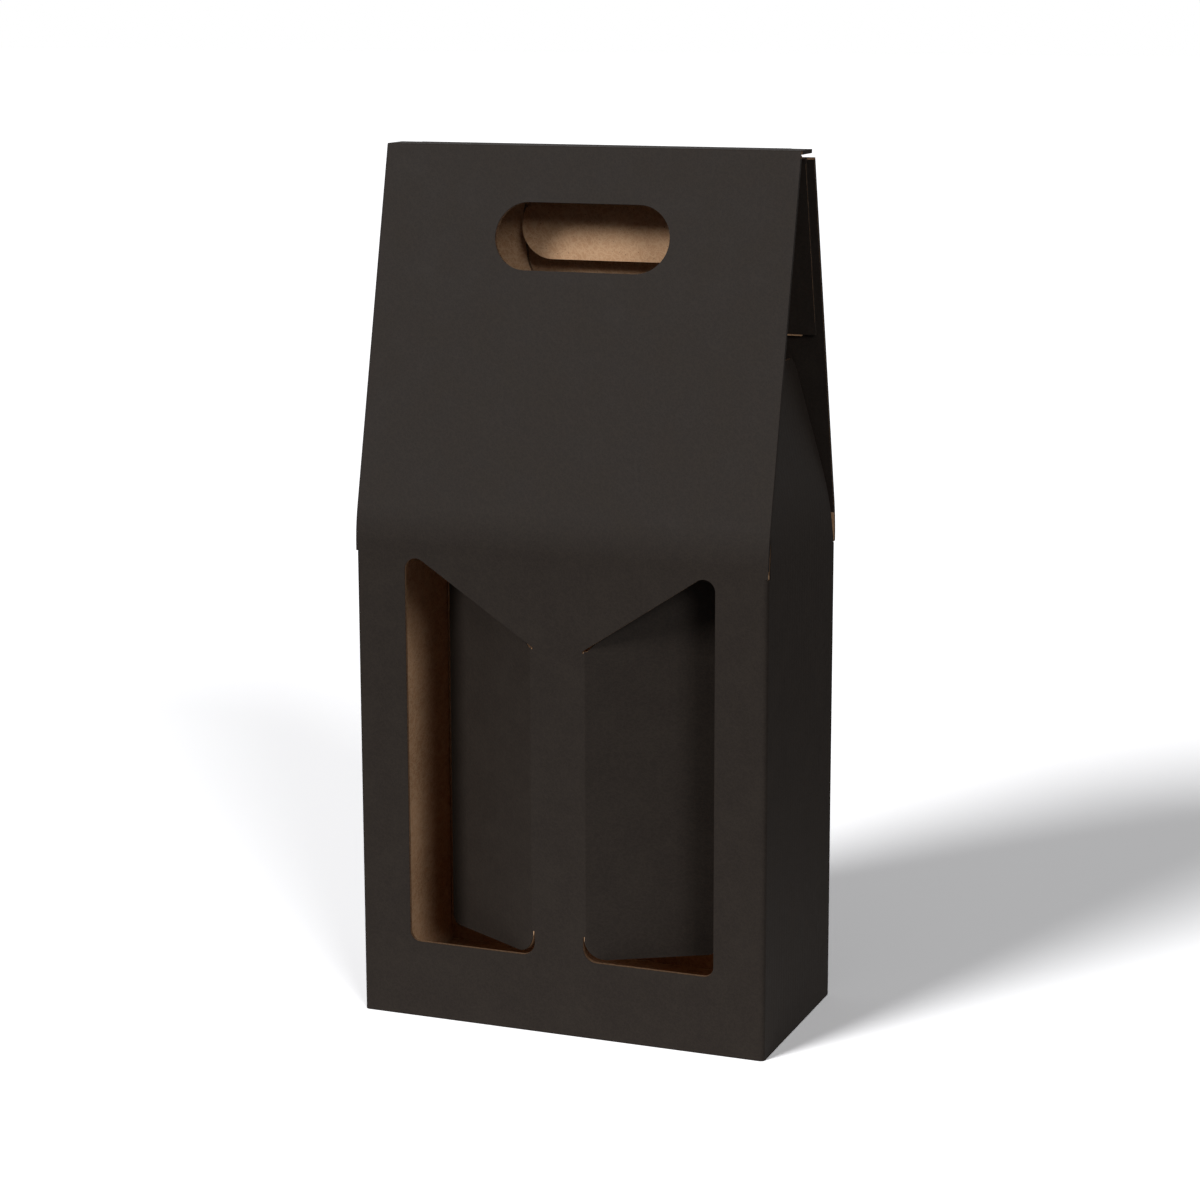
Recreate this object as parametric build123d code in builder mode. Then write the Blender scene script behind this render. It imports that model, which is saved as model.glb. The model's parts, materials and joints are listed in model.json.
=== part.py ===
from build123d import *
from math import acos, atan2, cos, degrees, hypot, radians, sin, tan
import os

# A carton for two bottles, cut from one sheet of fine-flute board.
# X runs along the width, Y from the front to the back, Z up from the floor.
# The origin is on the floor, under the middle of the box.

os.makedirs("parts", exist_ok=True)

# Overall sizes
WIDTH = 180.0
DEPTH = 90.0
RIDGE_HEIGHT = 366.0
RIDGE_DEPTH = 16.0
CORNER_RADIUS = 2.0

# The board: a black printed liner outside, a kraft body inside
BOARD = 1.6
LINER = 0.3

# Heights of the creases, and of the knee where wall and slope would meet if the bend were sharp
SLOPE_CREASE = 203.0
SIDE_CREASE = 201.0
KNEE_HEIGHT = 211.0

# Clearances
HINGE_GAP = 0.2
CUT_GAP = 0.4
TUCK_GAP = 0.3
GUSSET_GAP = 0.9

# Windows and the flaps cut from them
STRIP_WIDTH = 23.6
WINDOW_EDGE = 68.0
WINDOW_BOTTOM = 33.2
WINDOW_HINGE_TOP = 165.8
WINDOW_SLANT = 33.5
WINDOW_APEX_RADIUS = 5.0
WINDOW_CORNER_RADIUS = 4.5
WINDOW_HINGE_RADIUS = 6.0
FLAP_HINGE_RADIUS = 10.0
FLAP_RELIEF = 4.0
FLAP_ANGLE = 30.0

# Handle hole in the front slope, measured down the slope from the ridge
HANDLE_LENGTH = 76.0
HANDLE_WIDTH = 28.0
HANDLE_DOWN = 37.0

# Tuck flap, back slope and its lock tab
TUCK_LENGTH = 78.0
TUCK_INSET = 3.0
TUCK_CHAMFER = 6.0
TUCK_HOLE_ABOVE = 3.0
TUCK_HOLE_BELOW = 14.0
BACK_SLOPE_DROP = 3.5
TAB_DOWN = 20.4
TAB_LENGTH = 28.0
TAB_ANGLE = 20.0
TAB_RELIEF = 8.0

# Side gussets
GUSSET_HEIGHT = 80.0
GUSSET_LEAN = 12.0
GUSSET_BEND = 17.0
GUSSET_CORNER = 8.0

# Glued seam inside the back panel
GLUE_TAB_WIDTH = 25.0
GLUE_TAB_CHAMFER = 8.0
GLUE_TAB_END = 12.0

# Locking base: front flap below, side flaps, back flap above, tongue through the notch
BASE_GAP = 0.5
BASE_FRONT_DEPTH = 45.0
BASE_BACK_DEPTH = 56.0
BASE_SIDE_DEPTH = 50.0
BASE_SIDE_END = 62.0
BASE_CHAMFER = 6.0
NOTCH_WIDTH = 72.0
NOTCH_GAP = 2.8
TONGUE_WIDTH = 62.0
TONGUE_RAMP = 12.0
TONGUE_END_GAP = 7.8
TONGUE_RADIUS = 8.0
BASE_NECK = 18.0

HALF_WIDTH = WIDTH / 2
HALF_DEPTH = DEPTH / 2
HALF_BOARD = BOARD / 2
LAYERS = {"": (LINER, BOARD), "_print": (0.0, LINER)}

# Leans of the slopes from the vertical. The back slope lies outside the tuck flap.
FRONT_LEAN = degrees(atan2(HALF_DEPTH - RIDGE_DEPTH / 2, RIDGE_HEIGHT - KNEE_HEIGHT))
BACK_LEAN = (
    degrees(acos((BOARD + TUCK_GAP) / hypot(HALF_DEPTH - RIDGE_DEPTH / 2, RIDGE_HEIGHT - KNEE_HEIGHT)))
    - degrees(atan2(RIDGE_HEIGHT - KNEE_HEIGHT, HALF_DEPTH - RIDGE_DEPTH / 2))
)
SLOPE_BEND = KNEE_HEIGHT - SLOPE_CREASE
BACK_SLOPE_TOP = RIDGE_HEIGHT - BACK_SLOPE_DROP

# Fold axes of the ridge, in the middle of the board's thickness
RIDGE_FRONT_FOLD = -RIDGE_DEPTH / 2 + HALF_BOARD * tan(radians(45 - FRONT_LEAN / 2))
RIDGE_BACK_FOLD = RIDGE_DEPTH / 2 - HALF_BOARD * tan(radians(45 - BACK_LEAN / 2))
RIDGE_MIDDLE = RIDGE_HEIGHT - HALF_BOARD

# Hinge of the lock tab, in the middle of the back slope's board
TAB_HINGE_Z = RIDGE_HEIGHT - TAB_DOWN * cos(radians(BACK_LEAN))
TAB_HINGE_Y = (
    HALF_DEPTH
    - (TAB_HINGE_Z - KNEE_HEIGHT) * tan(radians(BACK_LEAN))
    - HALF_BOARD / cos(radians(BACK_LEAN))
)


def finish(piece, name):
    """Names a piece and writes it."""
    piece.part.label = name
    export_step(piece.part, f"parts/{name}.step")
    print(name, round(piece.part.volume))


def face_of(section):
    """The plane of a panel's face, for the plane of its cross-section: X along the panel, Y along the fold."""
    return Plane(origin=section.origin, x_dir=section.x_dir, z_dir=-section.y_dir)


def round_edge(near, far):
    """One layer's slice of the round edge of a fold, about the sketch's origin."""
    Circle(HALF_BOARD)
    with Locations((0, (near + far) / 2 - HALF_BOARD)):
        Rectangle(2 * BOARD, far - near, mode=Mode.INTERSECT)


def flat_section(length, near, far):
    """Cross-section of one layer of a flat panel: its fold's round edge at the origin, and its length along X."""
    round_edge(near, far)
    with Locations((0, near - HALF_BOARD)):
        Rectangle(length, far - near, align=(Align.MIN, Align.MIN))


def bent_section(wall, crease, bend, lean, length, near, far):
    """Cross-section of one layer of a panel that rises from a wall's crease and bends softly inwards.

    X is inwards and Y is up. The bend is an arc that is tangent to the wall at the crease.
    Length is the straight stretch's, past the arc.
    """
    radius = bend / tan(radians(lean / 2))
    centre = radius - wall
    across = (cos(radians(lean)), sin(radians(lean)))
    along = (across[1], across[0])

    def start(depth):
        return (centre - radius + depth, crease)

    def middle(depth):
        half = radians(lean / 2)
        return (centre - (radius - depth) * cos(half), crease + (radius - depth) * sin(half))

    def turned(depth, rise):
        return (
            centre - (radius - depth) * across[0] + rise * along[0],
            crease + (radius - depth) * across[1] + rise * along[1],
        )

    with Locations((HALF_BOARD - wall, crease)):
        Circle(HALF_BOARD)
    with Locations((near - wall, crease)):
        Rectangle(far - near, BOARD, align=(Align.MIN, Align.MAX), mode=Mode.INTERSECT)
    with BuildLine() as outline:
        ThreePointArc(start(near), middle(near), turned(near, 0))
        Polyline(turned(near, 0), turned(near, length), turned(far, length), turned(far, 0))
        ThreePointArc(turned(far, 0), middle(far), start(far))
        Line(start(far), start(near))
    make_face(outline.edges())


def straight_length(wall, bend, crease, lean, x, height):
    """Length of a bent panel's straight stretch, up to a point in the middle of its board."""
    radius = bend / tan(radians(lean / 2))
    bend_x = radius - wall - (radius - HALF_BOARD) * cos(radians(lean))
    bend_z = crease + (radius - HALF_BOARD) * sin(radians(lean))
    return hypot(x - bend_x, height - bend_z)


# Walls: a tube with soft corners, split at its corners into four panels


def wall_ring(near, far):
    """One layer of the tube, seen from above."""
    for inset, mode in ((near, Mode.ADD), (far, Mode.SUBTRACT)):
        RectangleRounded(WIDTH - 2 * inset, DEPTH - 2 * inset, CORNER_RADIUS - inset, mode=mode)


def wedge(corner_a, corner_b):
    """Keeps the part of the ring between two corners, each given by its signs, cut at 45 degrees."""
    reach = HALF_DEPTH / 2
    outer = 2 * CORNER_RADIUS
    with BuildLine() as outline:
        Polyline(
            (corner_a[0] * (HALF_WIDTH + outer), corner_a[1] * (HALF_DEPTH + outer)),
            (corner_b[0] * (HALF_WIDTH + outer), corner_b[1] * (HALF_DEPTH + outer)),
            (corner_b[0] * (HALF_WIDTH - reach), corner_b[1] * (HALF_DEPTH - reach)),
            (corner_a[0] * (HALF_WIDTH - reach), corner_a[1] * (HALF_DEPTH - reach)),
            close=True,
        )
    make_face(outline.edges(), mode=Mode.INTERSECT)


def window_line(x, drop=0.0):
    """Height of the window's slanted edge at x."""
    return WINDOW_HINGE_TOP + (x - STRIP_WIDTH / 2) * tan(radians(WINDOW_SLANT)) - drop


def window_outline(side):
    """A window, seen from the front, with its strip edge clear of the flap's fold."""
    inner = STRIP_WIDTH / 2 - HALF_BOARD - HINGE_GAP
    corners = [
        (side * inner, WINDOW_BOTTOM),
        (side * WINDOW_EDGE, WINDOW_BOTTOM),
        (side * WINDOW_EDGE, window_line(WINDOW_EDGE)),
        (side * inner, window_line(inner)),
    ]
    with BuildLine() as outline:
        FilletPolyline(
            *corners,
            radius=[WINDOW_HINGE_RADIUS, WINDOW_CORNER_RADIUS, WINDOW_APEX_RADIUS, HINGE_GAP],
            close=True,
        )
    make_face(outline.edges())


def wall_panel(name, corner_a, corner_b, top, near, far, windows=False):
    """One wall of the tube. The printed liner stops just above the floor, where it turns under."""
    bottom = 0.0 if near else LINER
    with BuildPart() as wall:
        with BuildSketch(Plane.XY.offset(bottom)):
            wall_ring(near, far)
            wedge(corner_a, corner_b)
        extrude(amount=top - bottom)
        if windows:
            with BuildSketch(Plane.XZ.offset(HALF_DEPTH - HALF_BOARD)):
                window_outline(-1)
                window_outline(1)
            extrude(amount=BOARD, both=True, mode=Mode.SUBTRACT)
    finish(wall, name)


for suffix, (near, far) in LAYERS.items():
    fold = HALF_BOARD + HINGE_GAP
    front_top = SLOPE_CREASE - fold
    side_top = SIDE_CREASE - fold
    wall_panel("front_panel" + suffix, (-1, -1), (1, -1), front_top, near, far, windows=True)
    wall_panel("back_panel" + suffix, (1, 1), (-1, 1), front_top, near, far)
    wall_panel("right_panel" + suffix, (1, -1), (1, 1), side_top, near, far)
    wall_panel("left_panel" + suffix, (-1, 1), (-1, -1), side_top, near, far)


# Glue tab: the left panel's flap, glued inside the back panel

with BuildPart() as glue_tab:
    with BuildSketch(Plane.XZ.offset(BOARD - HALF_DEPTH)):
        with Locations((CORNER_RADIUS - HALF_WIDTH, GLUE_TAB_END)):
            height = SIDE_CREASE - 2 * GLUE_TAB_END
            tab = Rectangle(GLUE_TAB_WIDTH, height, align=(Align.MIN, Align.MIN))
        chamfer(tab.vertices().group_by(Axis.X)[-1], length=GLUE_TAB_CHAMFER)
    extrude(amount=BOARD)
finish(glue_tab, "glue_tab")


# Window flaps: cut from the windows, folded inwards about the edges of the centre strip


def flap_outline():
    """The flap in its own face, from its fold: a cut's width inside the window."""
    width = WINDOW_EDGE - STRIP_WIDTH / 2 - CUT_GAP
    bottom = WINDOW_BOTTOM + CUT_GAP
    drop = CUT_GAP / cos(radians(WINDOW_SLANT))
    hinge_x = STRIP_WIDTH / 2
    corners = [
        (-HALF_BOARD, bottom),
        (width, bottom),
        (width, window_line(hinge_x + width, drop)),
        (FLAP_RELIEF, window_line(hinge_x + FLAP_RELIEF, drop)),
        (HALF_BOARD, window_line(hinge_x - HALF_BOARD, drop / 2)),
        (-HALF_BOARD, window_line(hinge_x - HALF_BOARD, drop / 2)),
    ]
    radii = [FLAP_HINGE_RADIUS, WINDOW_CORNER_RADIUS, WINDOW_APEX_RADIUS, CUT_GAP, CUT_GAP, CUT_GAP]
    with BuildLine() as outline:
        FilletPolyline(*corners, radius=radii, close=True)
    make_face(outline.edges())


flap_section = Plane(
    origin=(STRIP_WIDTH / 2, HALF_BOARD - HALF_DEPTH, 0),
    x_dir=(cos(radians(FLAP_ANGLE)), sin(radians(FLAP_ANGLE)), 0),
    z_dir=(0, 0, 1),
)
for suffix, (near, far) in LAYERS.items():
    with BuildPart() as right_flap:
        with BuildSketch(flap_section):
            flat_section(WINDOW_EDGE, near, far)
        extrude(amount=SLOPE_CREASE)
        with BuildSketch(face_of(flap_section)):
            flap_outline()
        extrude(amount=BOARD, both=True, mode=Mode.INTERSECT)
    finish(right_flap, "right_window_flap" + suffix)
    with BuildPart() as left_flap:
        add(right_flap.part.mirror(Plane.YZ))
    finish(left_flap, "left_window_flap" + suffix)


# Lid: front slope with the handle hole, ridge, and tuck flap inside the back slope

front_section = Plane.YZ
back_section = Plane(origin=(0, 0, 0), x_dir=(0, -1, 0), z_dir=(-1, 0, 0))


def slope_point(section, lean, down):
    """A point on a slope's outer face, down from the height of the ridge."""
    z = RIDGE_HEIGHT - down * cos(radians(lean))
    inwards = (z - KNEE_HEIGHT) * tan(radians(lean)) - HALF_DEPTH
    return section.from_local_coords(Vector(inwards, z, 0))


def slope_face(section, lean, down):
    """The plane of a slope's face at a point down from the ridge: X along the width, Z out of the box."""
    normal = section.x_dir * -cos(radians(lean)) + section.y_dir * sin(radians(lean))
    return Plane(origin=slope_point(section, lean, down), x_dir=(1, 0, 0), z_dir=normal)


def slope_length(lean, inwards, height):
    return straight_length(HALF_DEPTH, SLOPE_BEND, SLOPE_CREASE, lean, inwards, height)


front_length = slope_length(FRONT_LEAN, RIDGE_FRONT_FOLD, RIDGE_MIDDLE) - HALF_BOARD - HINGE_GAP
for suffix, (near, far) in LAYERS.items():
    with BuildPart() as front_slope:
        with BuildSketch(front_section):
            bent_section(HALF_DEPTH, SLOPE_CREASE, SLOPE_BEND, FRONT_LEAN, front_length, near, far)
        extrude(amount=HALF_WIDTH, both=True)
        with BuildSketch(slope_face(front_section, FRONT_LEAN, HANDLE_DOWN)):
            SlotOverall(HANDLE_LENGTH, HANDLE_WIDTH)
        extrude(amount=2 * BOARD, both=True, mode=Mode.SUBTRACT)
    finish(front_slope, "front_slope" + suffix)

ridge_section = Plane(origin=(0, RIDGE_FRONT_FOLD, RIDGE_MIDDLE), x_dir=(0, 1, 0), z_dir=(-1, 0, 0))
ridge_length = RIDGE_BACK_FOLD - RIDGE_FRONT_FOLD - HALF_BOARD - HINGE_GAP
for suffix, (near, far) in LAYERS.items():
    with BuildPart() as ridge_panel:
        with BuildSketch(ridge_section):
            flat_section(ridge_length, near, far)
        extrude(amount=HALF_WIDTH, both=True)
    finish(ridge_panel, "ridge_panel" + suffix)


def hanging_section(y, z, angle):
    """Cross-section plane of a panel that hangs from a fold, at an angle towards the back."""
    direction = (0, sin(radians(angle)), -cos(radians(angle)))
    return Plane(origin=(0, y, z), x_dir=direction, z_dir=(-1, 0, 0))


tuck_section = hanging_section(RIDGE_BACK_FOLD, RIDGE_MIDDLE, BACK_LEAN)
tab_section = hanging_section(TAB_HINGE_Y, TAB_HINGE_Z, BACK_LEAN - TAB_ANGLE)
tab_drop = hypot(TAB_HINGE_Y - RIDGE_BACK_FOLD, RIDGE_MIDDLE - TAB_HINGE_Z)
tuck_hole_length = TUCK_HOLE_ABOVE + TAB_LENGTH + TUCK_HOLE_BELOW
for suffix, (near, far) in LAYERS.items():
    with BuildPart() as tuck_flap:
        with BuildSketch(tuck_section):
            flat_section(TUCK_LENGTH, near, far)
        extrude(amount=HALF_WIDTH, both=True)
        with BuildSketch(face_of(tuck_section)):
            with Locations((-HALF_BOARD, 0)):
                sheet = Rectangle(
                    TUCK_LENGTH + HALF_BOARD,
                    WIDTH - 2 * TUCK_INSET,
                    align=(Align.MIN, Align.CENTER),
                )
            chamfer(sheet.vertices(), length=TUCK_CHAMFER)
            with Locations((tab_drop - TUCK_HOLE_ABOVE + tuck_hole_length / 2, 0)):
                RectangleRounded(
                    tuck_hole_length,
                    HANDLE_LENGTH,
                    HANDLE_WIDTH / 2,
                    mode=Mode.SUBTRACT,
                )
        extrude(amount=BOARD, both=True, mode=Mode.INTERSECT)
    finish(tuck_flap, "tuck_flap" + suffix)


# Back slope, and the lock tab that is cut from its hole and pushed forward through the tuck flap

back_top_y = -HALF_DEPTH + (BACK_SLOPE_TOP - KNEE_HEIGHT) * tan(radians(BACK_LEAN))
back_top_middle = back_top_y + HALF_BOARD * cos(radians(BACK_LEAN))
back_length = slope_length(BACK_LEAN, back_top_middle, BACK_SLOPE_TOP - HALF_BOARD * sin(radians(BACK_LEAN)))
hole_top = TAB_DOWN - HALF_BOARD - HINGE_GAP
hole_width = TAB_LENGTH + HALF_BOARD + HINGE_GAP + CUT_GAP
for suffix, (near, far) in LAYERS.items():
    with BuildPart() as back_slope:
        with BuildSketch(back_section):
            bent_section(HALF_DEPTH, SLOPE_CREASE, SLOPE_BEND, BACK_LEAN, back_length, near, far)
        extrude(amount=HALF_WIDTH, both=True)
        with BuildSketch(slope_face(back_section, BACK_LEAN, hole_top + hole_width / 2)):
            SlotOverall(HANDLE_LENGTH, hole_width)
        extrude(amount=2 * BOARD, both=True, mode=Mode.SUBTRACT)
    finish(back_slope, "back_slope" + suffix)

tab_reach = TAB_LENGTH + HALF_BOARD
tab_hinge = (HANDLE_LENGTH - HANDLE_WIDTH) / 2
for suffix, (near, far) in LAYERS.items():
    with BuildPart() as lock_tab:
        with BuildSketch(tab_section):
            flat_section(TAB_LENGTH, near, far)
        extrude(amount=HALF_WIDTH, both=True)
        with BuildSketch(face_of(tab_section)):
            with Locations((tab_reach / 2 - HALF_BOARD, 0)):
                SlotOverall(HANDLE_LENGTH - 2 * CUT_GAP, tab_reach, rotation=90)
            with BuildLine():
                Polyline(
                    (-BOARD, -tab_hinge),
                    (0, -tab_hinge),
                    (TAB_RELIEF, -HANDLE_LENGTH / 2),
                    (TAB_LENGTH + BOARD, -HANDLE_LENGTH / 2),
                    (TAB_LENGTH + BOARD, HANDLE_LENGTH / 2),
                    (TAB_RELIEF, HANDLE_LENGTH / 2),
                    (0, tab_hinge),
                    (-BOARD, tab_hinge),
                    close=True,
                )
            make_face(mode=Mode.INTERSECT)
        extrude(amount=BOARD, both=True, mode=Mode.INTERSECT)
    finish(lock_tab, "lock_tab" + suffix)


# Side gussets: dust flaps that lean inwards between the slopes

gusset_section = Plane(origin=(0, 0, 0), x_dir=(-1, 0, 0), z_dir=(0, 1, 0))
gusset_foot = HALF_DEPTH - BOARD - GUSSET_GAP
slope_inside = (
    HALF_DEPTH
    - (SIDE_CREASE + GUSSET_HEIGHT - KNEE_HEIGHT) * tan(radians(FRONT_LEAN))
    - BOARD / cos(radians(FRONT_LEAN))
)
gusset_head = slope_inside - GUSSET_GAP
for suffix, (near, far) in LAYERS.items():
    with BuildPart() as right_gusset:
        with BuildSketch(gusset_section):
            bent_section(
                HALF_WIDTH, SIDE_CREASE, GUSSET_BEND, GUSSET_LEAN, GUSSET_HEIGHT - 2 * GUSSET_BEND, near, far
            )
        extrude(amount=HALF_DEPTH, both=True)
        with BuildSketch(Plane.YZ):
            with BuildLine():
                FilletPolyline(
                    (-gusset_foot, SIDE_CREASE - BOARD),
                    (gusset_foot, SIDE_CREASE - BOARD),
                    (gusset_foot, SIDE_CREASE),
                    (gusset_head, SIDE_CREASE + GUSSET_HEIGHT),
                    (-gusset_head, SIDE_CREASE + GUSSET_HEIGHT),
                    (-gusset_foot, SIDE_CREASE),
                    radius=[CUT_GAP, CUT_GAP, CUT_GAP, GUSSET_CORNER, GUSSET_CORNER, CUT_GAP],
                    close=True,
                )
            make_face()
        extrude(amount=WIDTH, mode=Mode.INTERSECT)
    finish(right_gusset, "right_gusset" + suffix)
    with BuildPart() as left_gusset:
        add(right_gusset.part.mirror(Plane.YZ))
    finish(left_gusset, "left_gusset" + suffix)


# Locking base: three layers of board, and the front flap's tongue on top of the back flap

inside_x = HALF_WIDTH - BOARD
inside_y = HALF_DEPTH - BOARD
front_edge = BASE_FRONT_DEPTH - inside_y
ramp_end = front_edge + TONGUE_RAMP
tongue_end = inside_y - TONGUE_END_GAP
notch_edge = inside_y - BASE_BACK_DEPTH
for suffix, (near, far) in LAYERS.items():
    rise = 3 * BOARD
    shift = tan(atan2(rise, TONGUE_RAMP) / 2)
    with BuildPart() as base_front:
        with BuildSketch(Plane.YZ):
            with BuildLine():
                Polyline(
                    (-inside_y, near),
                    (front_edge - near * shift, near),
                    (ramp_end - near * shift, rise + near),
                    (tongue_end, rise + near),
                    (tongue_end, rise + far),
                    (ramp_end - far * shift, rise + far),
                    (front_edge - far * shift, far),
                    (-inside_y, far),
                    close=True,
                )
            make_face()
        extrude(amount=HALF_WIDTH, both=True)
        with BuildSketch():
            wide = inside_x - BASE_GAP
            half = TONGUE_WIDTH / 2
            neck = front_edge - BASE_NECK
            with BuildLine():
                FilletPolyline(
                    (-wide, -inside_y),
                    (wide, -inside_y),
                    (wide - BASE_CHAMFER, neck),
                    (half + BASE_CHAMFER, front_edge - BOARD),
                    (half, front_edge - BOARD),
                    (half, tongue_end),
                    (-half, tongue_end),
                    (-half, front_edge - BOARD),
                    (-half - BASE_CHAMFER, front_edge - BOARD),
                    (-wide + BASE_CHAMFER, neck),
                    radius=[CUT_GAP, CUT_GAP, TONGUE_RADIUS, CUT_GAP, CUT_GAP]
                    + [TONGUE_RADIUS, TONGUE_RADIUS, CUT_GAP, CUT_GAP, TONGUE_RADIUS],
                    close=True,
                )
            make_face()
        extrude(amount=rise + 2 * BOARD, mode=Mode.INTERSECT)
    finish(base_front, "base_front_flap" + suffix)

    with BuildPart() as base_back:
        with BuildSketch(Plane.XY.offset(2 * BOARD + near)):
            with Locations((0, inside_y)):
                sheet = Rectangle(
                    2 * (inside_x - BASE_GAP), BASE_BACK_DEPTH, align=(Align.CENTER, Align.MAX)
                )
            chamfer(sheet.vertices().group_by(Axis.Y)[0], length=BASE_CHAMFER)
            with Locations((0, notch_edge)):
                notch_depth = ramp_end + NOTCH_GAP - notch_edge
                Rectangle(
                    NOTCH_WIDTH, notch_depth, align=(Align.CENTER, Align.MIN), mode=Mode.SUBTRACT
                )
        extrude(amount=far - near)
    finish(base_back, "base_back_flap" + suffix)

    with BuildPart() as base_right:
        with BuildSketch(Plane.XY.offset(BOARD + near)):
            foot = inside_y - BASE_GAP
            with BuildLine():
                FilletPolyline(
                    (inside_x, -foot),
                    (inside_x, foot),
                    (inside_x - BASE_SIDE_DEPTH, BASE_SIDE_END / 2),
                    (inside_x - BASE_SIDE_DEPTH, -BASE_SIDE_END / 2),
                    radius=[CUT_GAP, CUT_GAP, TONGUE_RADIUS, TONGUE_RADIUS],
                    close=True,
                )
            make_face()
        extrude(amount=far - near)
    finish(base_right, "base_right_flap" + suffix)
    with BuildPart() as base_left:
        add(base_right.part.mirror(Plane.YZ))
    finish(base_left, "base_left_flap" + suffix)
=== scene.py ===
# %% [markdown]
# # A gift carton for two bottles
#
# The carton is cut and folded from one sheet of fine-flute board: a black printed liner outside,
# brown kraft inside, and a wavy paper core between them. The solids of the panels, their folds and
# their joints come from the imported frame, and this lesson dresses them. It sets the camera, the
# white sweep and the light, writes the two papers as node materials, lays a skin of paper over each
# crease, and models the wavy core where the board is cut.

import json
import math

import bmesh
import bpy
import numpy as np
from mathutils import Matrix, Vector


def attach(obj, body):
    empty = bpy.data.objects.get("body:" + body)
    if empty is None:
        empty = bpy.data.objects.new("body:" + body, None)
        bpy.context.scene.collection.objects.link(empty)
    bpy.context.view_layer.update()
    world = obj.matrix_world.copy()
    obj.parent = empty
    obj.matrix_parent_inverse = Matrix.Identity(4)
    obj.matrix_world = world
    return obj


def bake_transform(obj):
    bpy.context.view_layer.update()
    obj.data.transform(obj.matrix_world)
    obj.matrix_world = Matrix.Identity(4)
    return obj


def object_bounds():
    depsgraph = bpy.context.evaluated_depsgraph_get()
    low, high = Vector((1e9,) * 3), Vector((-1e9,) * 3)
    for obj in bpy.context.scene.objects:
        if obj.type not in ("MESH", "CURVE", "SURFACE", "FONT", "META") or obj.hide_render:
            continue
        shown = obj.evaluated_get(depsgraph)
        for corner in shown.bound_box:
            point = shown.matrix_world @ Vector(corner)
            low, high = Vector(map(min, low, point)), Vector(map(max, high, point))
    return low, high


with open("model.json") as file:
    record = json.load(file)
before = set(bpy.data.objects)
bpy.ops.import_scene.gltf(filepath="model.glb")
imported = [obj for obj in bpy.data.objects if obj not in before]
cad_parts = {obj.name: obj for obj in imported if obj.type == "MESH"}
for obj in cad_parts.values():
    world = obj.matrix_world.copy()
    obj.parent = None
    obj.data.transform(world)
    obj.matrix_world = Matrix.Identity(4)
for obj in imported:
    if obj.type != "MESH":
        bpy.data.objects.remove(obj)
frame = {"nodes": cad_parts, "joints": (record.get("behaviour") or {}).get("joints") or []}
cad_box = [list(corner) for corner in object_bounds()]
nodes = frame["nodes"]
joints = {joint["name"]: joint for joint in frame["joints"]}
MM = 0.001
print("CAD box", cad_box)

# %% [markdown]
# ## The camera
#
# The product shot is taken with a long lens from a little above, with the box turned by about
# twenty degrees. The place, the two angles and the focal length were found by fitting a pinhole
# camera to the box's own corners, so the camera is written as those numbers, and its axes are built
# from the angles instead of being aimed at a target.

# %% Camera
IMAGE_SIZE = 1200
FOCAL_PIXELS = 2981.9
CAMERA_PLACE = Vector((0.44987, -1.14096, 0.43369))
CAMERA_YAW = math.radians(21.47)
CAMERA_PITCH = math.radians(11.82)
CAMERA_ROLL = math.radians(-0.16)


def add_camera():
    """Looks along (-sin yaw cos pitch, cos yaw cos pitch, -sin pitch), then rolls about that line."""
    data = bpy.data.cameras.new("camera")
    data.sensor_width = 36.0
    data.lens = data.sensor_width * FOCAL_PIXELS / IMAGE_SIZE
    data.clip_start = 0.05
    data.clip_end = 100.0
    camera = bpy.data.objects.new("camera", data)
    bpy.context.scene.collection.objects.link(camera)
    level = math.cos(CAMERA_PITCH)
    forward = Vector(
        (-math.sin(CAMERA_YAW) * level, math.cos(CAMERA_YAW) * level, -math.sin(CAMERA_PITCH))
    )
    right = forward.cross(Vector((0, 0, 1))).normalized()
    up = right.cross(forward)
    turn = Matrix((right, up, -forward)).transposed()
    camera.matrix_world = (
        Matrix.Translation(CAMERA_PLACE) @ turn.to_4x4() @ Matrix.Rotation(CAMERA_ROLL, 4, "Z")
    )
    bpy.context.scene.camera = camera
    return camera


camera = add_camera()
print("lens", round(camera.data.lens, 2), "mm")

# %% [markdown]
# ## Node helpers
#
# A material is a small graph. One helper adds a node, sets its unlinked sockets and links the rest,
# so each material below reads as a list of its steps.

# %% Node helpers


class Graph:
    """Adds nodes to a material or a group, laid out from left to right."""

    def __init__(self, tree):
        self.tree = tree
        self.count = 0

    def add(self, kind, inputs=None, **settings):
        node = self.tree.nodes.new(kind)
        node.location = (220 * self.count, 0)
        self.count += 1
        for name, value in settings.items():
            setattr(node, name, value)
        for name, value in (inputs or {}).items():
            if isinstance(value, bpy.types.NodeSocket):
                self.tree.links.new(value, node.inputs[name])
            else:
                node.inputs[name].default_value = value
        return node

    def math(self, operation, first, second=0.0):
        return self.add("ShaderNodeMath", {0: first, 1: second}, operation=operation).outputs[0]

    def ramp(self, value, low, high, clamp=True):
        """Maps value from low..high to 0..1, softly."""
        node = self.add(
            "ShaderNodeMapRange",
            {"Value": value, "From Min": low, "From Max": high},
            interpolation_type="SMOOTHSTEP",
            clamp=clamp,
        )
        return node.outputs["Result"]

    def mix(self, factor, first, second, blend="MIX"):
        node = self.add("ShaderNodeMix", data_type="RGBA", blend_type=blend)
        for socket, value in ((node.inputs[0], factor), (node.inputs[6], first), (node.inputs[7], second)):
            if isinstance(value, bpy.types.NodeSocket):
                self.tree.links.new(value, socket)
            else:
                socket.default_value = value
        return node.outputs[2]

    def noise(self, vector, scale, detail=2.0, roughness=0.5):
        inputs = {"Vector": vector, "Scale": scale, "Detail": detail, "Roughness": roughness}
        return self.add("ShaderNodeTexNoise", inputs).outputs["Fac"]


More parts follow.
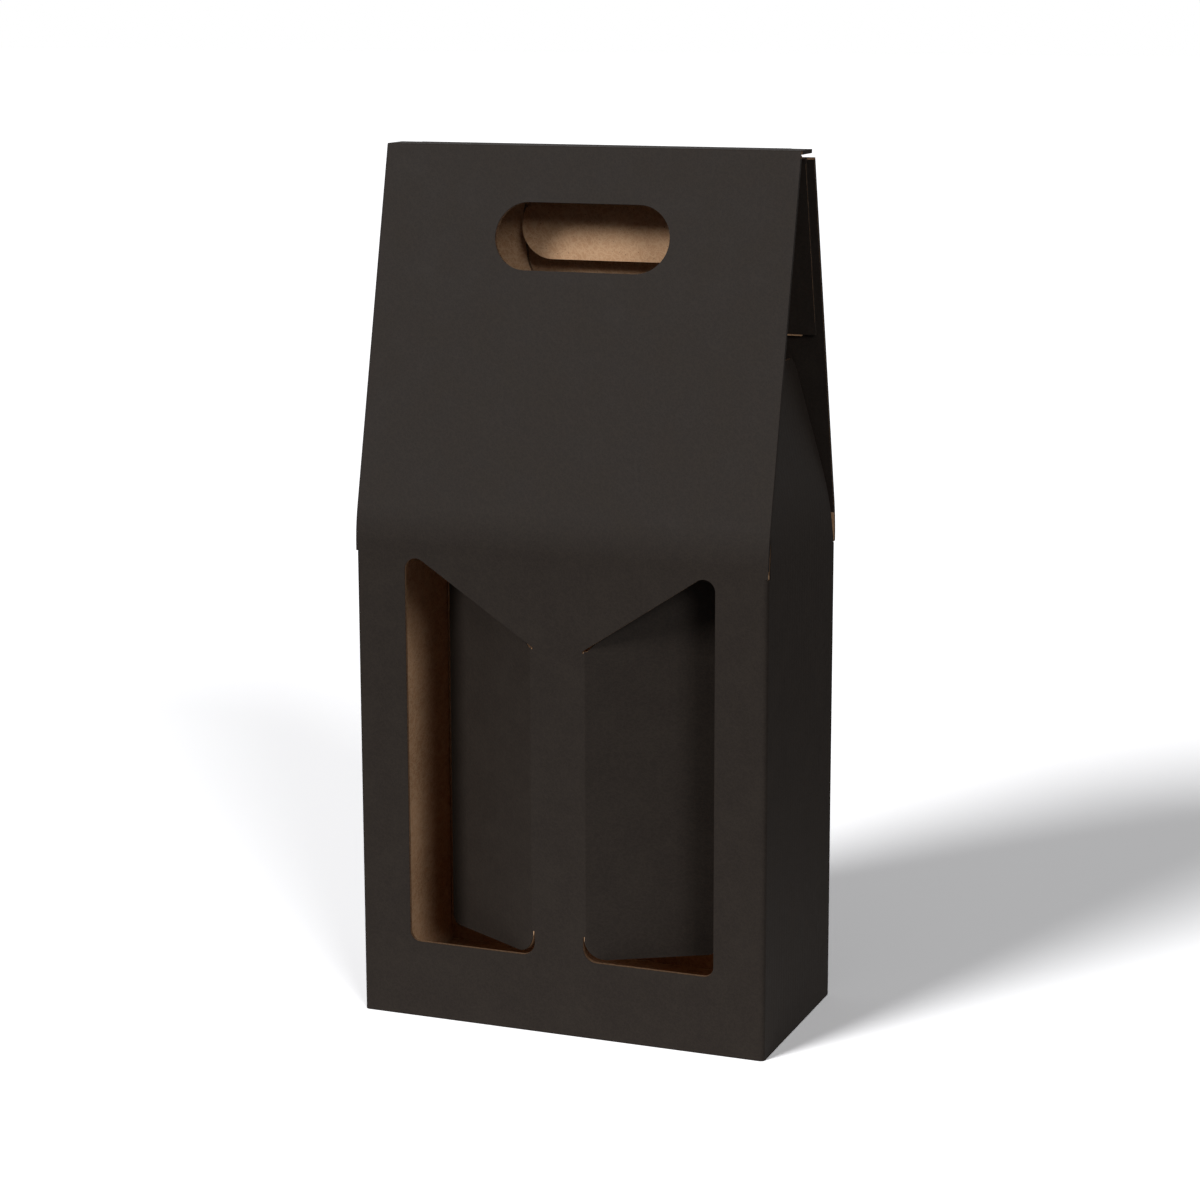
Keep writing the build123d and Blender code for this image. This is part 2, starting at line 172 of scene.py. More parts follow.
def srgb(red, green, blue):
    """A colour as read off a screen, 0 to 255, as the linear values that the shader takes."""
    values = np.array([red, green, blue]) / 255.0
    linear = np.where(values <= 0.04045, values / 12.92, ((values + 0.055) / 1.055) ** 2.4)
    return (*linear.tolist(), 1.0)


def new_material(name):
    """An empty node material and the graph that fills it."""
    material = bpy.data.materials.new(name)
    material.use_nodes = True
    material.node_tree.nodes.clear()
    return material, Graph(material.node_tree)


def finish_material(graph, shader):
    output = graph.add("ShaderNodeOutputMaterial")
    graph.tree.links.new(shader.outputs[0], output.inputs[0])


def new_group(name, inputs, outputs):
    """A shader node group with named float, colour or vector sockets, and its input and output nodes."""
    group = bpy.data.node_groups.new(name, "ShaderNodeTree")
    kinds = {"value": "NodeSocketFloat", "colour": "NodeSocketColor", "vector": "NodeSocketVector"}
    for label, (kind, default) in inputs.items():
        socket = group.interface.new_socket(label, in_out="INPUT", socket_type=kinds[kind])
        if default is not None:
            socket.default_value = default
    for label, kind in outputs.items():
        group.interface.new_socket(label, in_out="OUTPUT", socket_type=kinds[kind])
    graph = Graph(group)
    source = graph.add("NodeGroupInput")
    return group, graph, source


# %% [markdown]
# ## Paper fibres, shared by both papers
#
# Kraft liner and print alike are paper: a felt of short fibres. Stretching noise in two directions
# and taking thin ridges of it gives strands. Two such layers, turned against each other, make a felt.
# The group gives out a strand mask, a soft mottle and a height, and each material uses them with its
# own strength.

# %% Fibre group


def make_fibre_group():
    """Strands are thin ridges of noise stretched eight to one; mottle is slow noise."""
    inputs = {"Vector": ("vector", None), "Size": ("value", 900.0)}
    outputs = {"Strands": "value", "Mottle": "value", "Height": "value"}
    group, graph, source = new_group("paper_fibres", inputs, outputs)
    place, size = source.outputs["Vector"], source.outputs["Size"]
    strands = []
    for turn, stretch in ((0.35, (1.0, 0.14, 0.5)), (-0.9, (0.14, 1.0, 0.5)), (1.3, (0.5, 0.3, 0.14))):
        turned = graph.add(
            "ShaderNodeVectorRotate",
            {"Vector": place, "Axis": (0.4, 0.6, 0.7), "Angle": turn},
            rotation_type="AXIS_ANGLE",
        ).outputs[0]
        squeezed = graph.add(
            "ShaderNodeVectorMath", {0: turned, 1: stretch}, operation="MULTIPLY"
        ).outputs[0]
        noise = graph.noise(squeezed, size, detail=1.0)
        distance = graph.math("ABSOLUTE", graph.math("SUBTRACT", noise, 0.5))
        strands.append(graph.ramp(distance, 0.05, 0.0))
    felt = graph.math("MAXIMUM", graph.math("MAXIMUM", strands[0], strands[1]), strands[2])
    mottle = graph.noise(place, graph.math("MULTIPLY", size, 0.06), detail=5.0, roughness=0.62)
    grain = graph.noise(place, graph.math("MULTIPLY", size, 3.0), detail=3.0, roughness=0.7)
    height = graph.math("ADD", graph.math("MULTIPLY", felt, 0.45), grain)
    result = graph.add("NodeGroupOutput")
    for label, value in (("Strands", felt), ("Mottle", mottle), ("Height", height)):
        graph.tree.links.new(value, result.inputs[label])
    return group


fibre_group = make_fibre_group()

# %% [markdown]
# ## Flutes that show through
#
# The core's waves run up and down the box and press faintly into both liners, as a washboard of
# about three millimetres. The wave is a sine of the coordinate across the flutes, its line broken up
# by slow noise, because the glue takes unevenly. It feeds only a bump, never the colour.

# %% Flute group
FLUTE_PITCH = 3.2 * MM


def make_flute_group():
    """Height is a sine across the flutes, times a slow noise between 0.4 and 1."""
    inputs = {"Vector": ("vector", None), "Across": ("value", 0.0)}
    group, graph, source = new_group("flute_washboard", inputs, {"Height": "value"})
    phase = graph.math("MULTIPLY", source.outputs["Across"], 2 * math.pi / FLUTE_PITCH)
    wander = graph.noise(source.outputs["Vector"], 35.0, detail=1.0)
    wave = graph.math("SINE", graph.math("ADD", phase, wander))
    patches = graph.ramp(graph.noise(source.outputs["Vector"], 14.0), 0.3, 0.7)
    strength = graph.math("ADD", graph.math("MULTIPLY", patches, 0.6), 0.4)
    height = graph.math("MULTIPLY", wave, strength)
    result = graph.add("NodeGroupOutput")
    graph.tree.links.new(height, result.inputs["Height"])
    return group


flute_group = make_flute_group()

# %% [markdown]
# ## The black print
#
# The outside is a flood of warm black ink on the liner, with a matt varnish. It isn't one colour:
# the ink lies a little thinner over fibres, and rubs brown-grey in specks. Roughness varies with the
# mottle, which is what makes a matt surface read as paper in a raking light.

# %% Black print material
PRINT_COLOUR = srgb(37, 31, 27)
PRINT_THIN = srgb(44, 38, 33)
PRINT_RUB = srgb(76, 66, 57)


def flute_coordinate(graph, place, across):
    """The coordinate that runs across the flutes: x on the wide panels, y on the side panels."""
    parts = graph.add("ShaderNodeSeparateXYZ", {0: place})
    return parts.outputs[across]


def make_print(name, across):
    material, graph = new_material(name)
    place = graph.add("ShaderNodeTexCoord").outputs["Object"]
    fibres = graph.add("ShaderNodeGroup", {}, node_tree=fibre_group)
    graph.tree.links.new(place, fibres.inputs["Vector"])
    fibres.inputs["Size"].default_value = 1100.0
    flutes = graph.add("ShaderNodeGroup", {}, node_tree=flute_group)
    graph.tree.links.new(place, flutes.inputs["Vector"])
    graph.tree.links.new(flute_coordinate(graph, place, across), flutes.inputs["Across"])
    thin = graph.ramp(fibres.outputs["Mottle"], 0.35, 0.75)
    ink = graph.mix(graph.math("MULTIPLY", thin, 0.55), PRINT_COLOUR, PRINT_THIN)
    speck = graph.ramp(graph.noise(place, 2600.0, detail=1.0), 0.735, 0.80)
    strand = graph.math("MULTIPLY", fibres.outputs["Strands"], 0.10)
    rubbed = graph.math("ADD", graph.math("MULTIPLY", speck, 0.22), strand)
    colour = graph.mix(rubbed, ink, PRINT_RUB)
    gloss = graph.math("MULTIPLY", fibres.outputs["Mottle"], 0.16)
    roughness = graph.math("ADD", gloss, 0.56)
    fine = graph.add("ShaderNodeBump", {"Height": fibres.outputs["Height"], "Distance": 0.000012})
    fine.inputs["Strength"].default_value = 0.7
    broad = graph.add("ShaderNodeBump", {"Height": flutes.outputs["Height"], "Distance": 0.000010})
    graph.tree.links.new(fine.outputs[0], broad.inputs["Normal"])
    shader = graph.add("ShaderNodeBsdfPrincipled")
    shader.inputs["Specular IOR Level"].default_value = 0.16
    for label, value in (("Base Color", colour), ("Roughness", roughness), ("Normal", broad.outputs[0])):
        graph.tree.links.new(value, shader.inputs[label])
    finish_material(graph, shader)
    return material


print_wide = make_print("black_print_wide_panels", "X")
print_side = make_print("black_print_side_panels", "Y")

# %% [markdown]
# ## The kraft
#
# The inside is bare kraft: warm brown, with darker and paler strands, small dark specks of bark and
# a slow mottle from the pulp. It is much rougher than the print and has almost no gloss. Its cut faces take
# painted shade, darker as the hollows between the flute ribbons.

# %% Kraft material
KRAFT_COLOUR = srgb(190, 151, 116)
KRAFT_DARK = srgb(172, 133, 99)
KRAFT_PALE = srgb(213, 181, 147)
KRAFT_SPECK = srgb(88, 60, 40)
# Painted shade: the dark brown laid on the cut faces for the hollows between the flute ribbons.
KRAFT_PAINTED_HOLLOW_SHADE = srgb(92, 66, 45)


def painted_cut_shade_mask(graph, facing):
    """1 on a cut edge, 0 on a panel's face: how little the surface's own normal lies along the face axis. It
    places painted shade on the cut faces, for the hollows between the flute ribbons.
    """
    normal = graph.add("ShaderNodeTexCoord").outputs["Normal"]
    parts = graph.add("ShaderNodeSeparateXYZ", {0: normal})
    share = graph.math("ABSOLUTE", parts.outputs[facing])
    return graph.ramp(share, 0.75, 0.6)


def make_kraft(name, across, facing):
    material, graph = new_material(name)
    place = graph.add("ShaderNodeTexCoord").outputs["Object"]
    fibres = graph.add("ShaderNodeGroup", {}, node_tree=fibre_group)
    graph.tree.links.new(place, fibres.inputs["Vector"])
    fibres.inputs["Size"].default_value = 700.0
    flutes = graph.add("ShaderNodeGroup", {}, node_tree=flute_group)
    graph.tree.links.new(place, flutes.inputs["Vector"])
    graph.tree.links.new(flute_coordinate(graph, place, across), flutes.inputs["Across"])
    pulp = graph.mix(graph.ramp(fibres.outputs["Mottle"], 0.3, 0.72), KRAFT_DARK, KRAFT_COLOUR)
    strands = graph.mix(graph.math("MULTIPLY", fibres.outputs["Strands"], 0.38), pulp, KRAFT_PALE)
    speck = graph.ramp(graph.noise(place, 1500.0, detail=1.0), 0.70, 0.76)
    sheet = graph.mix(graph.math("MULTIPLY", speck, 0.7), strands, KRAFT_SPECK)
    # Painted shade: the cut faces are mixed 0.8 of the way towards a dark brown, as the shade in the hollows
    # between the flute ribbons.
    colour = graph.mix(graph.math("MULTIPLY", painted_cut_shade_mask(graph, facing), 0.8), sheet, KRAFT_PAINTED_HOLLOW_SHADE)
    roughness = graph.math("ADD", graph.math("MULTIPLY", fibres.outputs["Mottle"], 0.12), 0.76)
    fine = graph.add("ShaderNodeBump", {"Height": fibres.outputs["Height"], "Distance": 0.00003})
    fine.inputs["Strength"].default_value = 0.8
    broad = graph.add("ShaderNodeBump", {"Height": flutes.outputs["Height"], "Distance": 0.000018})
    graph.tree.links.new(fine.outputs[0], broad.inputs["Normal"])
    shader = graph.add("ShaderNodeBsdfPrincipled")
    shader.inputs["Specular IOR Level"].default_value = 0.2
    for label, value in (("Base Color", colour), ("Roughness", roughness), ("Normal", broad.outputs[0])):
        graph.tree.links.new(value, shader.inputs[label])
    finish_material(graph, shader)
    return material


kraft_wide = make_kraft("kraft_wide_panels", "X", "Y")
kraft_side = make_kraft("kraft_side_panels", "Y", "X")
kraft_flat = make_kraft("kraft_flat_panels", "X", "Z")

# %% [markdown]
# ## Papers onto the panels
#
# Every panel of the frame is two solids, the kraft body and its printed liner, so a node's name says
# which paper it takes. The side panels and gussets have their flutes along Z too, but counted in Y.

# %% Assign the papers
SIDE_PANELS = ("left_panel", "right_panel", "left_gusset", "right_gusset")


def paper_for(name):
    side = name.replace("_print", "") in SIDE_PANELS
    if name.endswith("_print"):
        return print_side if side else print_wide
    if name.startswith(("base", "ridge")):
        return kraft_flat
    return kraft_side if side else kraft_wide


for name, node in nodes.items():
    node.data.materials.clear()
    node.data.materials.append(paper_for(name))
print("papers on", len(nodes), "nodes")

# %% [markdown]
# ## Paper over the creases
#
# In the frame each crease is a gap of 0.2 mm between two solids, so that the joint can turn. On the
# real sheet the liners run on across it. A skin is a profile carried along the fold: it follows the
# parent panel's face, goes round the fold's axis at half the board's thickness, and runs on along
# the child's face. Each skin is laid once, in the rest pose.

# %% Crease skins
HALF_BOARD = 0.8 * MM
SKIN_REACH = 2.6 * MM
SKIN_LIFT = 0.03 * MM
SKIN_DEPTH = 0.14 * MM
SKIN_TAPER = 0.045 * MM


def mesh_object(name, vertices, faces, material):
    """A new object at the origin from vertex and face arrays, shaded smooth."""
    mesh = bpy.data.meshes.new(name)
    mesh.from_pydata(vertices.tolist(), [], faces.tolist())
    mesh.materials.append(material)
    mesh.polygons.foreach_set("use_smooth", np.ones(len(mesh.polygons), dtype=bool))
    mesh.update()
    piece = bpy.data.objects.new(name, mesh)
    bpy.context.scene.collection.objects.link(piece)
    return piece


def tube_faces(rows, columns, closed_rows=False):
    """Quads of a grid whose columns close round, and its rows too where closed_rows is true."""
    row = np.arange(rows if closed_rows else rows - 1)[:, None]
    column = np.arange(columns)[None, :]
    after_row = (row + 1) % rows
    after_column = (column + 1) % columns
    corners = [
        row * columns + column,
        row * columns + after_column,
        after_row * columns + after_column,
        after_row * columns + column,
    ]
    return np.stack([np.broadcast_to(c, (row.size, columns)).ravel() for c in corners], axis=1)


def band_faces(rows, count):
    """A tube's faces and its two ends, each end a strip of quads between the section's two long sides."""
    strip = np.arange(count // 2 - 1)
    cap = np.stack([strip, strip + 1, count - 2 - strip, count - 1 - strip], axis=1)
    return np.vstack([tube_faces(rows, count), cap[:, ::-1], cap + (rows - 1) * count])


def bend_profile(ways, outs, lift, steps=13):
    """Points of a skin's cross-section, from the parent's face round the fold to the child's face.

    Outside a fold it is an arc of half the board plus the lift about the fold's axis. Inside one, the two
    faces simply meet, at that radius over the cosine of half the angle between them. Both ends dive a
    little below the faces, so that no step shows.
    """
    radius = HALF_BOARD + lift
    angle = math.acos(max(-1.0, min(1.0, float(outs[0] @ outs[1]))))
    if angle < 1e-4:
        middle = np.array([outs[0] * radius])
    elif outs[0] @ ways[1] > 0:
        bisector = (outs[0] + outs[1]) / np.linalg.norm(outs[0] + outs[1])
        middle = np.array([bisector * radius / math.cos(angle / 2)])
    else:
        share = np.linspace(0, 1, steps)[:, None]
        turned = np.sin((1 - share) * angle) * outs[0] + np.sin(share * angle) * outs[1]
        middle = turned / math.sin(angle) * radius
    start = outs[0] * (radius - SKIN_TAPER) + ways[0] * SKIN_REACH
    finish = outs[1] * (radius - SKIN_TAPER) + ways[1] * SKIN_REACH
    return np.vstack([start[None], middle, finish[None]])


def crease_skin(name, joint_name, parent_way, child_way, outside, span, material):
    """A thin closed band along a fold, of SKIN_DEPTH, laid in the rest pose round the joint's axis."""
    joint = joints[joint_name]
    axis_point = np.array(joint["pos_m"])
    fold = np.array(joint["axis"], float)
    ways = [np.array(way, float) / np.linalg.norm(way) for way in (parent_way, child_way)]
    outs = [np.array(out, float) / np.linalg.norm(out) for out in outside]
    outer = bend_profile(ways, outs, SKIN_LIFT)
    inner = bend_profile(ways, outs, SKIN_LIFT - SKIN_DEPTH)
    loop = np.vstack([outer, inner[::-1]])
    rows = 25
    along = np.linspace(span[0], span[1], rows)[:, None, None] * np.abs(fold)
    base = axis_point * (1 - np.abs(fold))
    vertices = (base + loop)[None] + along
    count = len(loop)
    faces = band_faces(rows, count)
    piece = mesh_object(name, vertices.reshape(-1, 3), faces, material)
    fix_normals(piece)
    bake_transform(piece)
    return piece


def fix_normals(piece):
    """Turns every face of a closed piece outwards, and keeps its sharp edges sharp."""
    work = bmesh.new()
    work.from_mesh(piece.data)
    bmesh.ops.recalc_face_normals(work, faces=work.faces)
    work.to_mesh(piece.data)
    work.free()
    piece.data.set_sharp_from_angle(angle=math.radians(35.0))


print("crease of the lid at", joints["lid_crease"]["pos_m"])

# %% [markdown]
# ## Which way the panels face
#
# A skin needs the direction of the panel on each side of its fold, and where that panel faces. The walls
# are upright. The front slope leans from the knee to the ridge's edge, and the back slope leans a little
# less, because it lies outside the tuck flap by the board and a gap. The tab and flaps turn from those.

# %% Directions of the sloping panels
KNEE = 211.0 * MM
RIDGE_HALF = 8.0 * MM
BACK_OVERLAP = 1.9 * MM


def rotated(vector, degrees, axis):
    return np.array(Matrix.Rotation(math.radians(degrees), 3, axis) @ Vector(vector))


low, high = (np.array(corner) for corner in cad_box)
half_width, half_depth, ridge_height = high[0], high[1], high[2]
half_depth = max(half_depth, -low[1])
reach = math.hypot(half_depth - RIDGE_HALF, ridge_height - KNEE)
front_lean = math.degrees(math.atan2(half_depth - RIDGE_HALF, ridge_height - KNEE))
back_lean = math.degrees(math.acos(BACK_OVERLAP / reach)) - (90 - front_lean)
UP, DOWN = np.array((0.0, 0.0, 1.0)), np.array((0.0, 0.0, -1.0))
FRONT, BACK = np.array((0.0, -1.0, 0.0)), np.array((0.0, 1.0, 0.0))
RIGHT, LEFT = np.array((1.0, 0.0, 0.0)), np.array((-1.0, 0.0, 0.0))
front_up, front_out = rotated(UP, -front_lean, "X"), rotated(FRONT, -front_lean, "X")
back_up, back_out = rotated(UP, back_lean, "X"), rotated(BACK, back_lean, "X")
TAB_ANGLE = 20.0
tab_down, tab_out = rotated(DOWN, back_lean - TAB_ANGLE, "X"), rotated(BACK, back_lean - TAB_ANGLE, "X")
FLAP_ANGLE = 30.0
print("leans", round(front_lean, 3), round(back_lean, 3))

# %% [markdown]
# ## A skin for each crease
#
# Each skin runs the length of its crease. The ridge's folds take only the outer skin, because little is
# seen of their inner side. The others show kraft inside when the box is open, so they take both.

# %% Skins of every crease that moves
TUCK_FOLD_INSET = 9.0 * MM
TAB_FOLD_HALF = 23.6 * MM
GUSSET_FOLD_HALF = 42.0 * MM
wide = (-half_width, half_width)
tuck_wide = (-half_width + TUCK_FOLD_INSET, half_width - TUCK_FOLD_INSET)
tab_wide = (-TAB_FOLD_HALF, TAB_FOLD_HALF)
gusset_wide = (-GUSSET_FOLD_HALF, GUSSET_FOLD_HALF)
window_tall = (44.0 * MM, 164.5 * MM)


def fold(joint, parent_way, child_way, outs, span, papers, both=True):
    """The black skin outside a fold and, where both is true, the kraft skin inside it."""
    crease_skin(f"{joint}_print", joint, parent_way, child_way, outs, span, papers[0])
    if both:
        backs = (-outs[0], -outs[1])
        crease_skin(f"{joint}_kraft", joint, parent_way, child_way, backs, span, papers[1])


wide_papers, side_papers = (print_wide, kraft_wide), (print_side, kraft_side)
fold("lid_crease", DOWN, UP, (FRONT, FRONT), wide, wide_papers)
fold("back_slope_crease", DOWN, UP, (BACK, BACK), wide, wide_papers)
fold("ridge_front_fold", -front_up, BACK, (front_out, UP), wide, wide_papers, both=False)
fold("ridge_back_fold", FRONT, -back_up, (UP, back_out), tuck_wide, wide_papers, both=False)
fold("lock_tab_crease", back_up, tab_down, (back_out, tab_out), tab_wide, wide_papers)
for side, out in (("left", LEFT), ("right", RIGHT)):
    fold(f"{side}_gusset_crease", DOWN, UP, (out, out), gusset_wide, side_papers)
    flap_way = rotated(out, FLAP_ANGLE * out[0], "Z")
    flap_out = rotated(FRONT, FLAP_ANGLE * out[0], "Z")
    fold(f"{side}_window_crease", -out, flap_way, (FRONT, flap_out), window_tall, wide_papers)
print("creases covered")

# %% [markdown]
# ## Turned-in edges of the roof
#
# Seen from the side, the two slopes show no brown core: their side edges are black, and so is the strip
# just inside them. The black liner is wider than the board there and is turned in round the edge, like
# the cloth on a book's cover. Each turn-in is a hook-shaped profile, carried along the panel's middle line
# by its own direction and outward normal, so it follows the soft bend at the foot of the slope.

# %% Turned-in edges
TURN_IN = 17.0 * MM
WIDE_TURN_IN = 34.0 * MM
TURN_LIFT = 0.03 * MM
TURN_DEPTH = 0.13 * MM
SLOPE_CREASE = 203.0 * MM
BEND_RISE = KNEE - SLOPE_CREASE
SLOPE_ROWS = 40
FRONT_TURN_START, FRONT_TURN_DROP = 203.6 * MM, 3.0 * MM
BACK_TURN_START, BACK_TURN_DROP = 213.0 * MM, 4.2 * MM
TUCK_TURN = (3.0 * MM, 77.4 * MM)
TUCK_INSET = 3.0 * MM
FOLD_CLEAR = 1.3 * MM


def slope_line(wall, lean, foot, top):
    """Middle line of a slope and its normals: an arc tangent to the wall at the crease, then a straight run.

    The arc's radius is the bend's rise over the tangent of half the lean.
    """
    radius = BEND_RISE / math.tan(math.radians(lean / 2))
    turn = np.linspace(0, math.radians(lean), 9)
    inwards = radius - wall - (radius - HALF_BOARD) * np.cos(turn)
    height = SLOPE_CREASE + (radius - HALF_BOARD) * np.sin(turn)
    run = (top - height[-1]) / math.cos(math.radians(lean))
    inwards = np.append(inwards, inwards[-1] + run * math.sin(math.radians(lean)))
    height = np.append(height, top)
    turn = np.append(turn, turn[-1])
    keep = np.linspace(foot, top, SLOPE_ROWS)
    y = np.interp(keep, height, inwards)
    turned = np.interp(keep, height, turn)
    line = np.stack([np.zeros(SLOPE_ROWS), y, keep], axis=1)
    outs = np.stack([np.zeros(SLOPE_ROWS), -np.cos(turned), np.sin(turned)], axis=1)
    return line, outs


def hook_profile(edge, width):
    """Turn-in's cross-section as distances from the middle line: across the width, and out of the face.

    It starts just round the edge on the outer face, goes round the edge and that width along the inner face.
    """
    outer = HALF_BOARD + TURN_LIFT
    inner = outer - TURN_DEPTH
    side = edge + TURN_LIFT
    loop = [
        (edge - 0.6 * MM, outer),
        (side - 0.1 * MM, outer),
        (side, outer - 0.1 * MM),
        (side, 0.1 * MM - outer),
        (side - 0.1 * MM, -outer),
        (edge - width, -outer),
        (edge - width, -inner),
        (side - TURN_DEPTH, -inner),
        (side - TURN_DEPTH, inner),
        (edge - 0.6 * MM, inner),
    ]
    return np.array(loop)


def carried(name, line, outs, profile, side, body, material):
    """A profile carried along a line: point + across * side * X + out * normal, closed at both ends."""
    across = profile[None, :, 0, None] * np.array((side, 0.0, 0.0))
    vertices = line[:, None, :] + across + profile[None, :, 1, None] * outs[:, None, :]
    rows, count = len(line), len(profile)
    faces = band_faces(rows, count)
    piece = mesh_object(name, vertices.reshape(-1, 3), faces, material)
    piece.data.polygons.foreach_set("use_smooth", np.zeros(len(piece.data.polygons), dtype=bool))
    fix_normals(piece)
    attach(piece, body)
    return piece


def straight_line(start, way, first, last, out):
    """A straight middle line from start + way * first to start + way * last, with one normal."""
    steps = np.linspace(first, last, 20)[:, None]
    return start + steps * way, np.repeat(out[None], 20, axis=0)


front_line, front_outs = slope_line(half_depth, front_lean, FRONT_TURN_START, ridge_height - FRONT_TURN_DROP)
back_line, back_outs = slope_line(half_depth, back_lean, BACK_TURN_START, ridge_height - BACK_TURN_DROP)
mirror = np.array((1.0, -1.0, 1.0))
back_line, back_outs = back_line * mirror, back_outs * mirror
ridge_start = np.array(joints["ridge_front_fold"]["pos_m"])
ridge_end = np.array(joints["ridge_back_fold"]["pos_m"])
ridge_length = ridge_end[1] - ridge_start[1]
ridge_line = straight_line(ridge_start, BACK, FOLD_CLEAR, ridge_length - FOLD_CLEAR, UP)
tuck_line = straight_line(ridge_end, -back_up, *TUCK_TURN, back_out)
for name, side in (("left", -1.0), ("right", 1.0)):
    edge, wide_edge = hook_profile(half_width, TURN_IN), hook_profile(half_width, WIDE_TURN_IN)
    carried(f"{name}_front_turn_in", front_line, front_outs, edge, side, "lid", print_wide)
    carried(f"{name}_back_turn_in", back_line, back_outs, wide_edge, side, "back_slope", print_wide)
    carried(f"{name}_ridge_turn_in", *ridge_line, wide_edge, side, "ridge", print_wide)
    tuck_edge = hook_profile(half_width - TUCK_INSET, WIDE_TURN_IN)
    carried(f"{name}_tuck_turn_in", *tuck_line, tuck_edge, side, "tuck", print_wide)
print("turned-in edges", 8)

# %% [markdown]
# ## The wavy core at the cuts
#
# Where a hole or a flap is die-cut, the board shows its build: the two liners, and between them the
# fluting, a sheet of paper bent into waves. A cut across the flutes shows the wave, and a cut along them
# shows a plain line. So each sheet is a thin ribbon that follows the cut, and the middle one's distance from
# the board's middle is a sine of the place across the flutes. One function does every cut.

# %% Outlines of cuts
CUT_STEP = 0.45 * MM


def rounded_outline(corners, radii):
    """A closed outline with an arc in each corner, as points one CUT_STEP apart.

    An arc's centre lies on the corner's bisector, at its radius over the sine of half the corner's angle.
    """
    corners = np.array(corners, float)
    pieces = []
    for before, here, after, radius in zip(np.roll(corners, 1, 0), corners, np.roll(corners, -1, 0), radii):
        one, two = before - here, after - here
        one, two = one / np.linalg.norm(one), two / np.linalg.norm(two)
        half = math.acos(max(-1.0, min(1.0, float(one @ two)))) / 2
        middle = (one + two) / np.linalg.norm(one + two)
        centre = here + middle * radius / math.sin(half)
        first = here + one * radius / math.tan(half) - centre
        last = here + two * radius / math.tan(half) - centre
        share = np.linspace(0, 1, 13)[:, None]
        angle = math.pi - 2 * half
        arc = (np.sin((1 - share) * angle) * first + np.sin(share * angle) * last) / math.sin(angle)
        pieces.append(centre + arc)
    outline = np.vstack(pieces)
    closed = np.vstack([outline, outline[:1]])
    length = np.concatenate([[0], np.cumsum(np.linalg.norm(np.diff(closed, axis=0), axis=1))])
    even = np.linspace(0, length[-1], int(length[-1] / CUT_STEP), endpoint=False)
    return np.stack([np.interp(even, length, closed[:, k]) for k in (0, 1)], axis=1)


def outward(outline):
    """Unit vectors square to a closed outline, pointing away from its inside."""
    along = np.roll(outline, -1, axis=0) - np.roll(outline, 1, axis=0)
    along /= np.linalg.norm(along, axis=1)[:, None]
    square = np.stack([along[:, 1], -along[:, 0]], axis=1)
    area = np.sum(outline[:, 0] * np.roll(outline[:, 1], -1) - np.roll(outline[:, 0], -1) * outline[:, 1])
    return square * np.sign(area)


# %% Ribbons along a cut
LINER_HALF = 0.10 * MM
WAVE_HALF = 0.085 * MM
WAVE_REACH = 0.42 * MM
WAVE_SHIFT = 0.12 * MM
INNER_LINER = -HALF_BOARD + LINER_HALF + 0.01 * MM
OUTER_LINER = HALF_BOARD - 0.42 * MM
RIBBON_PROUD = 0.06 * MM
RIBBON_SUNK = 0.05 * MM


def cut_edge(name, outline, inside, frame_of, body):
    """Three ribbons round a cut. Each is a rectangle carried along the outline and closed on itself.

    inside is 1 where the board lies inside the outline and -1 where the outline is a hole. frame_of gives the
    panel's origin on its middle plane, its two directions and its outward normal.
    """
    origin, across, upward, normal = frame_of
    square = outward(outline) * inside
    points = origin + outline[:, :1] * across + outline[:, 1:] * upward
    off = square[:, :1] * across + square[:, 1:] * upward
    place = np.sin(outline[:, 0] * 2 * math.pi / FLUTE_PITCH) * WAVE_REACH
    sheets = [(INNER_LINER, LINER_HALF), (OUTER_LINER, LINER_HALF)]
    vertices, faces = [], []
    rows = len(outline)
    offsets = [(np.full(rows, middle), half) for middle, half in sheets]
    offsets.append((place - WAVE_SHIFT, WAVE_HALF))
    for count, (middle, half) in enumerate(offsets):
        corners = [(RIBBON_PROUD, half), (RIBBON_PROUD, -half), (-RIBBON_SUNK, -half), (-RIBBON_SUNK, half)]
        loops = [points + off * out + normal * (middle + lift)[:, None] for out, lift in corners]
        vertices.append(np.stack(loops, axis=1).reshape(-1, 3))
        faces.append(tube_faces(rows, 4, closed_rows=True) + 4 * rows * count)
    piece = mesh_object(name, np.vstack(vertices), np.vstack(faces), cut_kraft)
    fix_normals(piece)
    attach(piece, body)
    return piece


CUT_DARK = srgb(82, 60, 43)
CUT_PALE = srgb(128, 102, 79)


def make_cut_kraft():
    material, graph = new_material("kraft_cut_edge")
    place = graph.add("ShaderNodeTexCoord").outputs["Object"]
    fray = graph.ramp(graph.noise(place, 900.0, detail=3.0), 0.35, 0.7)
    colour = graph.mix(fray, CUT_DARK, CUT_PALE)
    bump = graph.add("ShaderNodeBump", {"Height": graph.noise(place, 2500.0), "Distance": 0.00004})
    shader = graph.add("ShaderNodeBsdfPrincipled")
    shader.inputs["Roughness"].default_value = 0.85
    shader.inputs["Specular IOR Level"].default_value = 0.15
    graph.tree.links.new(colour, shader.inputs["Base Color"])
    graph.tree.links.new(bump.outputs[0], shader.inputs["Normal"])
    finish_material(graph, shader)
    return material


cut_kraft = make_cut_kraft()

# %% Cuts of the handle, the tuck flap and the tab
HANDLE = (76.0 * MM, 28.0 * MM)
HANDLE_ROUND = HANDLE[1] / 2
HANDLE_DROP = -37.0 * MM
BACK_HOLE = (HANDLE[0], 29.6 * MM, 14.8 * MM, -34.0 * MM)


def slot_outline(length, width, radius, centre):
    """A hole with round ends: a rectangle whose corners have that radius."""
    x, y = length / 2, width / 2
    corners = [(-x, centre - y), (x, centre - y), (x, centre + y), (-x, centre + y)]
    return rounded_outline(corners, [radius * 0.9999] * 4)


